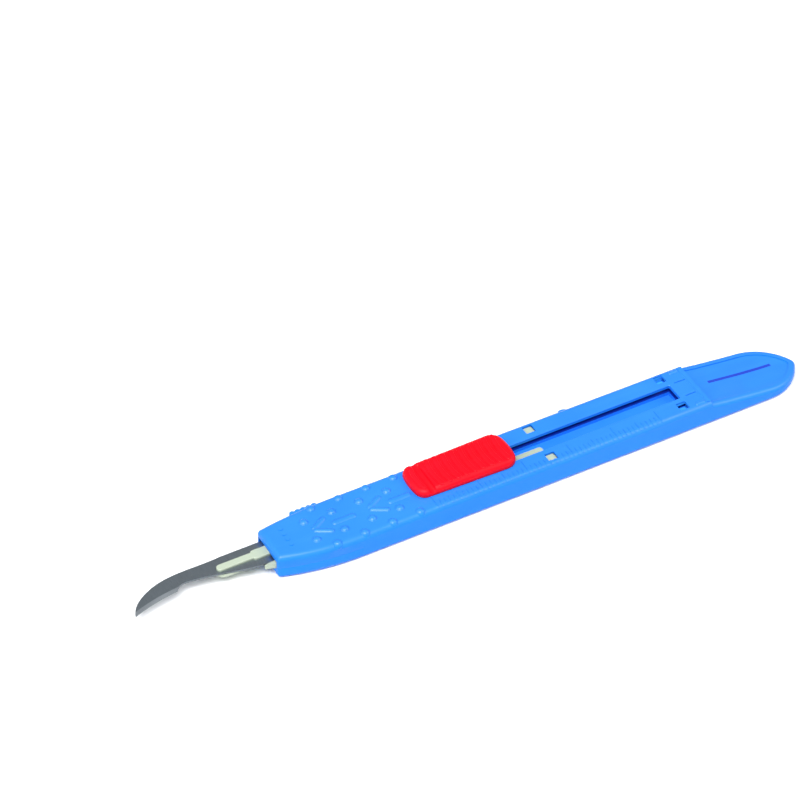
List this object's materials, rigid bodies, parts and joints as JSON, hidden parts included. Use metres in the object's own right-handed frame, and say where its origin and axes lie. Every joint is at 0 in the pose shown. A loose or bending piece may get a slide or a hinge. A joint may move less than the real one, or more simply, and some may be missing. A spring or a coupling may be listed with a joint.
{
  "type": "retractable scalpel",
  "caption": "Slim plastic-handled retractable scalpel: a thumb slider runs a hooked steel blade out of the nose and back inside.",
  "frame": {"origin": "centre of the handle's flat back face, half way along the handle", "axes": "+X from the blade's nose to the tail, +Y towards the side with the finger ribs, +Z from the flat back face up to the thumb slider"},
  "size_m": [0.1467, 0.0133, 0.0074],
  "materials": {
    "handle_blue": "satin moulded",
    "carrier_cream": "satin moulded",
    "slider_red": "satin moulded",
    "blade_steel": "fine ground"
  },
  "bodies": {
    "handle": {"front_shell": "handle_blue", "back_shell": "handle_blue"},
    "blade_carriage": {"blade_carrier": "carrier_cream", "slider_button": "slider_red", "blade": "blade_steel"}
  },
  "joints": [
    {"name": "blade_slide", "type": "slide", "parent": "handle", "child": "blade_carriage", "axis": [1, 0, 0], "range_m": [0, 0.03]}
  ]
}
